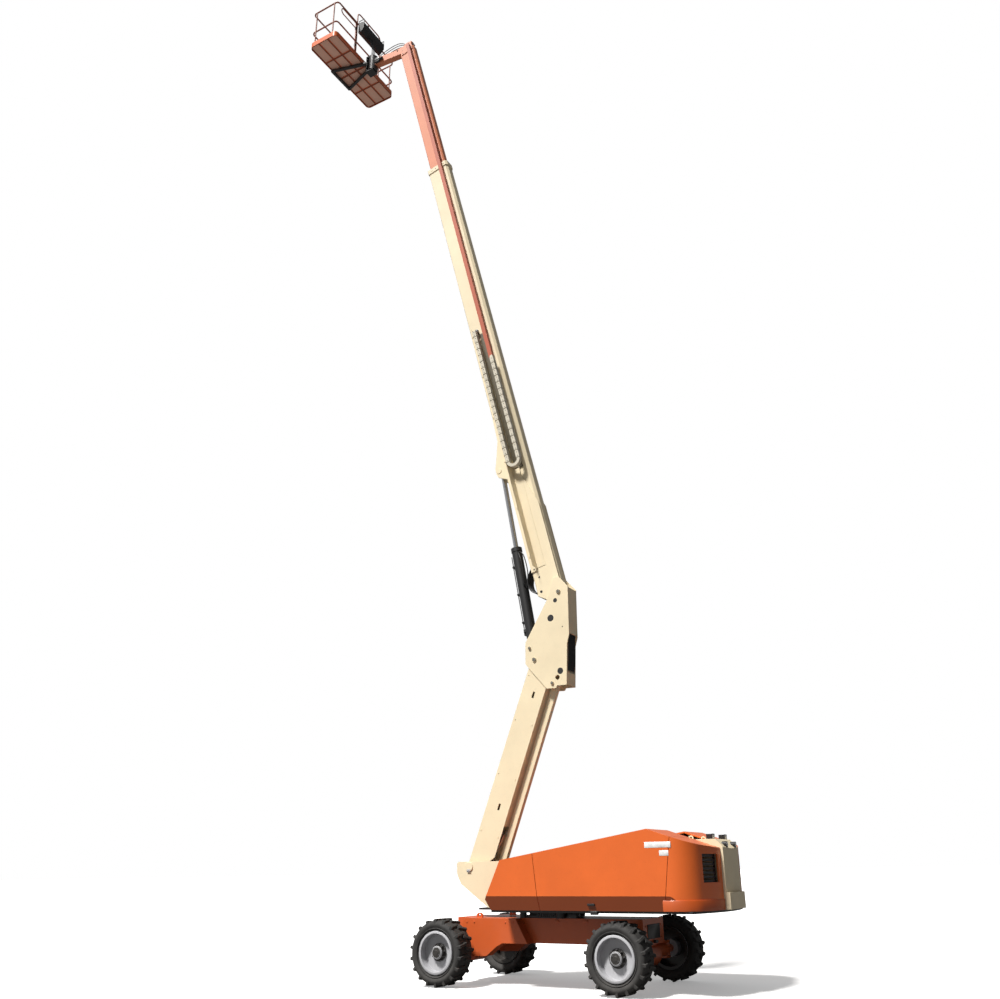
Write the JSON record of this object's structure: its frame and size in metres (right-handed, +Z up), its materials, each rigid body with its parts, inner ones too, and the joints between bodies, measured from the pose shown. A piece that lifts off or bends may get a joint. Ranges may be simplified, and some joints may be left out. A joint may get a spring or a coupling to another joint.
{
  "type": "articulating boom lift",
  "caption": "Wheeled self-propelled boom lift with a raised tower, a telescopic main boom and a railed work platform; the tower, boom, fly, platform, steering, hood doors and gate all move.",
  "frame": {"origin": "on the ground, under the swing axis and midway between the axles", "axes": "+Z up; +X towards the steered axle and the counterweight, so the platform reaches towards -X; -Y is the near side"},
  "size_m": [9.039, 2.475, 23.395],
  "materials": {
    "orange_paint": "satin",
    "cream_paint": "satin",
    "black_paint": "satin",
    "tyre_rubber": "matte",
    "rim_paint": "satin",
    "chrome_rod": "polished",
    "black_plastic": "matte",
    "engine_iron": "matte"
  },
  "bodies": {
    "chassis": {"chassis_frame": "orange_paint", "drive_axle": "orange_paint", "steer_axle": "orange_paint", "swing_bearing": "black_paint"},
    "wheel_drive_near": {"tyre_drive_near": "tyre_rubber", "rim_drive_near": "rim_paint"},
    "wheel_drive_far": {"tyre_drive_far": "tyre_rubber", "rim_drive_far": "rim_paint"},
    "knuckle_near": {"knuckle_near": "orange_paint"},
    "wheel_steer_near": {"tyre_steer_near": "tyre_rubber", "rim_steer_near": "rim_paint"},
    "knuckle_far": {"knuckle_far": "orange_paint"},
    "wheel_steer_far": {"tyre_steer_far": "tyre_rubber", "rim_steer_far": "rim_paint"},
    "tie_rod": {"tie_rod": "orange_paint"},
    "turntable": {"turntable": "black_paint", "tower_bracket": "cream_paint", "counterweight": "cream_paint", "hood_front_near": "orange_paint", "hood_front_far": "orange_paint", "hood_rear_near": "orange_paint", "hood_rear_far": "orange_paint", "engine": "engine_iron", "tail_lamps": "black_paint", "grille_near": "black_paint", "grille_far": "black_paint"},
    "door_near": {"hood_door_near": "orange_paint"},
    "door_far": {"hood_door_far": "orange_paint"},
    "tower": {"tower_boom": "cream_paint"},
    "tower_link": {"tower_link": "cream_paint"},
    "tower_barrels": {"tower_barrels": "black_paint"},
    "tower_rods": {"tower_rods": "chrome_rod"},
    "upright": {"upright": "cream_paint"},
    "lift_barrel": {"lift_barrel": "black_paint"},
    "lift_rod": {"lift_rod": "chrome_rod"},
    "base_boom": {"base_boom": "cream_paint", "track_tray": "cream_paint"},
    "power_track": {"power_track": "black_plastic"},
    "fly_boom": {"fly_boom": "orange_paint", "push_tube": "orange_paint"},
    "nose": {"nose_arm": "orange_paint", "rotator": "black_paint"},
    "level_barrel": {"level_barrel": "black_paint"},
    "level_rod": {"level_rod": "chrome_rod"},
    "platform": {"platform_frame": "black_paint", "platform_tray": "orange_paint", "platform_rails": "orange_paint", "control_box": "black_plastic"},
    "gate": {"gate": "orange_paint"}
  },
  "joints": [
    {"name": "swing", "type": "hinge", "parent": "chassis", "child": "turntable", "pos_m": [0, 0, 1.07], "axis": [0, 0, 1], "continuous": true},
    {"name": "wheel_drive_near", "type": "hinge", "parent": "chassis", "child": "wheel_drive_near", "pos_m": [-1.525, -1.035, 0.487], "axis": [0, 1, 0], "continuous": true},
    {"name": "wheel_drive_far", "type": "hinge", "parent": "chassis", "child": "wheel_drive_far", "pos_m": [-1.525, 1.035, 0.487], "axis": [0, 1, 0], "continuous": true},
    {"name": "steer_near", "type": "hinge", "parent": "chassis", "child": "knuckle_near", "pos_m": [1.525, -0.76, 0.487], "axis": [0, 0, 1], "range_deg": [-35, 35]},
    {"name": "wheel_steer_near", "type": "hinge", "parent": "knuckle_near", "child": "wheel_steer_near", "pos_m": [1.525, -1.035, 0.487], "axis": [0, 1, 0], "continuous": true},
    {"name": "steer_far", "type": "hinge", "parent": "chassis", "child": "knuckle_far", "pos_m": [1.525, 0.76, 0.487], "axis": [0, 0, 1], "range_deg": [-35, 35]},
    {"name": "wheel_steer_far", "type": "hinge", "parent": "knuckle_far", "child": "wheel_steer_far", "pos_m": [1.525, 1.035, 0.487], "axis": [0, 1, 0], "continuous": true},
    {"name": "tie_rod", "type": "hinge", "parent": "knuckle_near", "child": "tie_rod", "pos_m": [1.225, -0.76, 0.487], "axis": [0, 0, 1], "range_deg": [-35, 35]},
    {"name": "door_near", "type": "hinge", "parent": "turntable", "child": "door_near", "pos_m": [0, -0.34, 1.85938], "axis": [-0.9881, 0, -0.1539], "range_deg": [0, 60]},
    {"name": "door_far", "type": "hinge", "parent": "turntable", "child": "door_far", "pos_m": [0, 0.34, 1.85938], "axis": [0.9881, 0, 0.1539], "range_deg": [0, 60]},
    {"name": "tower_lift", "type": "hinge", "parent": "turntable", "child": "tower", "pos_m": [-1.55, 0, 1.726], "axis": [0, -1, 0], "range_deg": [-68.8, 0]},
    {"name": "tower_link", "type": "hinge", "parent": "turntable", "child": "tower_link", "pos_m": [-1.204, 0, 1.277], "axis": [0, -1, 0], "range_deg": [-68.8, 0]},
    {"name": "tower_barrels", "type": "hinge", "parent": "turntable", "child": "tower_barrels", "pos_m": [-1.52, 0, 1.386], "axis": [0, -1, 0], "range_deg": [-56.96, 0]},
    {"name": "tower_rods", "type": "slide", "parent": "tower_barrels", "child": "tower_rods", "axis": [0.4944, 0, 0.8693], "range_m": [-0.34593, 0]},
    {"name": "upright_level", "type": "hinge", "parent": "tower", "child": "upright", "pos_m": [-0.23477, 0, 5.11686], "axis": [0, -1, 0], "range_deg": [0, 68.8]},
    {"name": "boom_lift", "type": "hinge", "parent": "upright", "child": "base_boom", "pos_m": [0.28223, 0, 6.28486], "axis": [0, 1, 0], "range_deg": [-83, 0]},
    {"name": "lift_barrel", "type": "hinge", "parent": "upright", "child": "lift_barrel", "pos_m": [-0.32377, 0, 5.32886], "axis": [0, 1, 0], "range_deg": [-78.63, 0]},
    {"name": "lift_rod", "type": "slide", "parent": "lift_barrel", "child": "lift_rod", "axis": [-0.1707, 0, 0.9853], "range_m": [-1.48467, 0]},
    {"name": "fly_extend", "type": "slide", "parent": "base_boom", "child": "fly_boom", "axis": [-0.2419, 0, 0.9703], "range_m": [-4.3, 2.5]},
    {"name": "power_track", "type": "slide", "parent": "base_boom", "child": "power_track", "axis": [-0.2419, 0, 0.9703], "range_m": [-2.15, 1.25]},
    {"name": "platform_level", "type": "hinge", "parent": "fly_boom", "child": "nose", "pos_m": [-3.67546, 0, 21.63332], "axis": [0, 1, 0], "range_deg": [0, 83]},
    {"name": "level_barrel", "type": "hinge", "parent": "fly_boom", "child": "level_barrel", "pos_m": [-3.4455, 0, 20.9177], "axis": [0, 1, 0], "range_deg": [0, 0.356]},
    {"name": "level_rod", "type": "slide", "parent": "level_barrel", "child": "level_rod", "axis": [-0.1633, 0, 0.9866], "range_m": [-0.19824, 0]},
    {"name": "platform_rotate", "type": "hinge", "parent": "nose", "child": "platform", "pos_m": [-4.86546, 0, 21.63332], "axis": [0, 0, 1], "range_deg": [-90, 90]},
    {"name": "gate", "type": "hinge", "parent": "platform", "child": "gate", "pos_m": [-5.16396, -0.448, 21.97632], "axis": [0, 0, -1], "range_deg": [0, 85]}
  ],
  "couplings": [
    {"joint": "steer_far", "follows": "steer_near", "ratio": 1},
    {"joint": "tie_rod", "follows": "steer_near", "ratio": -1},
    {"joint": "tower_link", "follows": "tower_lift", "ratio": 1},
    {"joint": "tower_barrels", "follows": "tower_lift", "ratio": 0.82784},
    {"joint": "tower_rods", "follows": "tower_lift", "m_per_rad": 0.28809},
    {"joint": "upright_level", "follows": "tower_lift", "ratio": -1},
    {"joint": "lift_barrel", "follows": "boom_lift", "ratio": 0.94735},
    {"joint": "lift_rod", "follows": "boom_lift", "m_per_rad": 1.0249},
    {"joint": "power_track", "follows": "fly_extend", "ratio": 0.5},
    {"joint": "platform_level", "follows": "boom_lift", "ratio": -1},
    {"joint": "level_barrel", "follows": "boom_lift", "ratio": -0.0042892},
    {"joint": "level_rod", "follows": "boom_lift", "m_per_rad": 0.13685}
  ]
}
